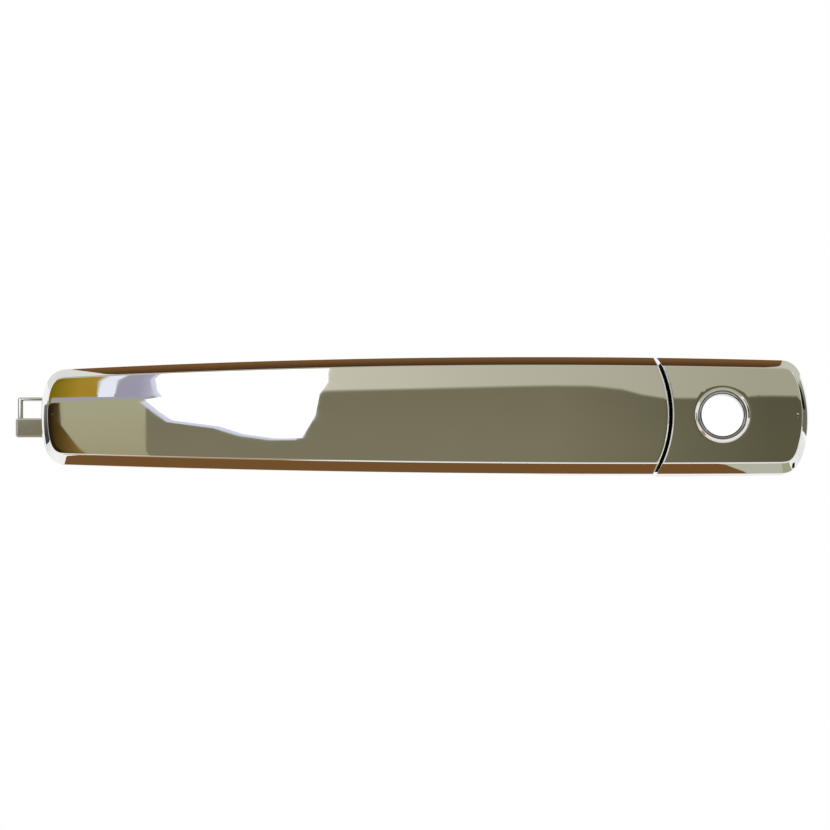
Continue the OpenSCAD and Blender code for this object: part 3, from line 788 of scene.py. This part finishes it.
def side_cards():
    """What the bevels and edges mirror: wooden panels behind the handle, a ceiling, dark sides."""
    wood, dark_wood = srgb(0.44, 0.31, 0.175), srgb(0.25, 0.17, 0.11)

    def above(name, x, colour, fade=None):
        x0, x1 = x
        card(name, [(x0, 0.4, 0.12), (x1, 0.4, 0.12), (x1, 0.12, 0.4), (x0, 0.12, 0.4)], colour, fade)

    def below(name, x, colour):
        x0, x1 = x
        card(name, [(x0, 0.3, -0.13), (x1, 0.3, -0.13), (x1, 0.09, -0.288), (x0, 0.09, -0.288)], colour)

    above("wood_above", (-0.217, 0.053), wood, ("Z", dark_wood, 0.25, 0.31))
    above("grey_above", (0.053, 0.5), srgb(0.74, 0.74, 0.70))
    above("pale_above", (-0.7, -0.217), srgb(0.85, 0.85, 0.84))
    below("wood_below", (-0.228, 0.03), wood)
    below("grey_below", (0.03, 0.056), srgb(0.70, 0.70, 0.64))
    below("olive_below", (0.056, 0.15), srgb(0.62, 0.62, 0.50))
    card("corner_spot", [(0.16, 0.25, -0.18), (0.2, 0.25, -0.18), (0.2, 0.25, -0.13), (0.16, 0.25, -0.13)],
         srgb(0.1, 0.1, 0.1))
    card("warm_low", [(-0.26, -0.4, -0.25), (-0.145, -0.4, -0.25), (-0.145, 0.08, -0.25),
                      (-0.26, 0.08, -0.25)],
         srgb(0.66, 0.54, 0.42))
    card("floor_front", [(-1.5, -1.55, -0.29), (1.4, -1.55, -0.29), (1.4, -0.3, -0.29), (-1.5, -0.3, -0.29)],
         srgb(0.50, 0.50, 0.48), ("Y", srgb(0.90, 0.90, 0.88), -1.1, -0.35))
    card("ceiling", [(-1.6, -1.6, 1.3), (1.6, -1.6, 1.3), (1.6, 1.0, 1.3), (-1.6, 1.0, 1.3)],
         srgb(0.68, 0.67, 0.60))
    card("left_side", [(-1.6, -0.9, -0.28), (-1.6, 2.3, -0.28), (-1.6, 2.3, 0.26), (-1.6, -0.9, 0.26)],
         srgb(0.25, 0.24, 0.23), ("Z", srgb(0.42, 0.41, 0.40), -0.05, 0.2))
    card("right_side", [(1.62, -0.9, -0.06), (1.62, 3.0, -0.06), (1.62, 3.0, 1.1), (1.62, -0.9, 1.1)],
         srgb(0.40, 0.40, 0.34), ("Z", srgb(0.66, 0.66, 0.60), 0.3, 0.8))
    card("right_patch", [(1.6, -0.3, 0.27), (1.6, 2.5, 0.25), (1.6, 2.3, 0.66), (1.6, -0.3, 0.56)],
         srgb(0.08, 0.08, 0.08))


def light(name, where, aim, size, power):
    """An area light; size is (width, height)."""
    data = bpy.data.lights.new(name, "AREA")
    data.energy, data.shape = power, "RECTANGLE"
    data.size, data.size_y = size
    obj = bpy.data.objects.new(name, data)
    bpy.context.scene.collection.objects.link(obj)
    obj.location = where
    obj.rotation_mode = "QUATERNION"
    obj.rotation_quaternion = (Vector(aim) - Vector(where)).to_track_quat("-Z", "Y")


def camera():
    """Square on to the face and a little below it, 3 m away."""
    data = bpy.data.cameras.new("camera")
    cam = bpy.data.objects.new("camera", data)
    bpy.context.scene.collection.objects.link(cam)
    distance, tilt, seen_width = 3.0, math.radians(-3.3), 0.2361
    aim = Vector((-0.0874, -0.0185, 0.0002))
    back = Vector((0, -math.cos(tilt), math.sin(tilt)))
    cam.location = aim + back * distance
    cam.rotation_mode = "QUATERNION"
    cam.rotation_quaternion = (-back).to_track_quat("-Z", "Y")
    data.sensor_width = 36
    data.lens = data.sensor_width * distance / seen_width
    data.clip_start, data.clip_end = 0.05, 60
    bpy.context.scene.camera = cam


def stage():
    """A white surround and a pale floor."""
    world = bpy.data.worlds.new("studio")
    bpy.context.scene.world = world
    world.use_nodes = True
    world.node_tree.nodes["Background"].inputs["Color"].default_value = (1, 1, 1, 1)
    world.node_tree.nodes["Background"].inputs["Strength"].default_value = 1.0
    bpy.context.scene.view_settings.view_transform = "Standard"
    m, nodes, links, shader = new_material("floor", Roughness=0.7)
    links.new(ramp(nodes, links, noise(nodes, links, 3), (0.86, 0.86, 0.85), (0.9, 0.9, 0.89)),
              shader.inputs["Base Color"])
    mesh = bpy.data.meshes.new("floor")
    half, z = 6.0, -0.30
    corners = [(-half, -half, z), (half, -half, z), (half, half, z), (-half, half, z)]
    mesh.from_pydata(corners, [], [[0, 1, 2, 3]])
    mesh.materials.append(m)
    floor = bpy.data.objects.new("floor", mesh)
    bpy.context.scene.collection.objects.link(floor)


stage()
front_cards()
side_cards()
light("key", (-0.45, 0.6, 0.95), (-0.09, 0.0, 0.0), (0.6, 0.4), 3.0)
camera()
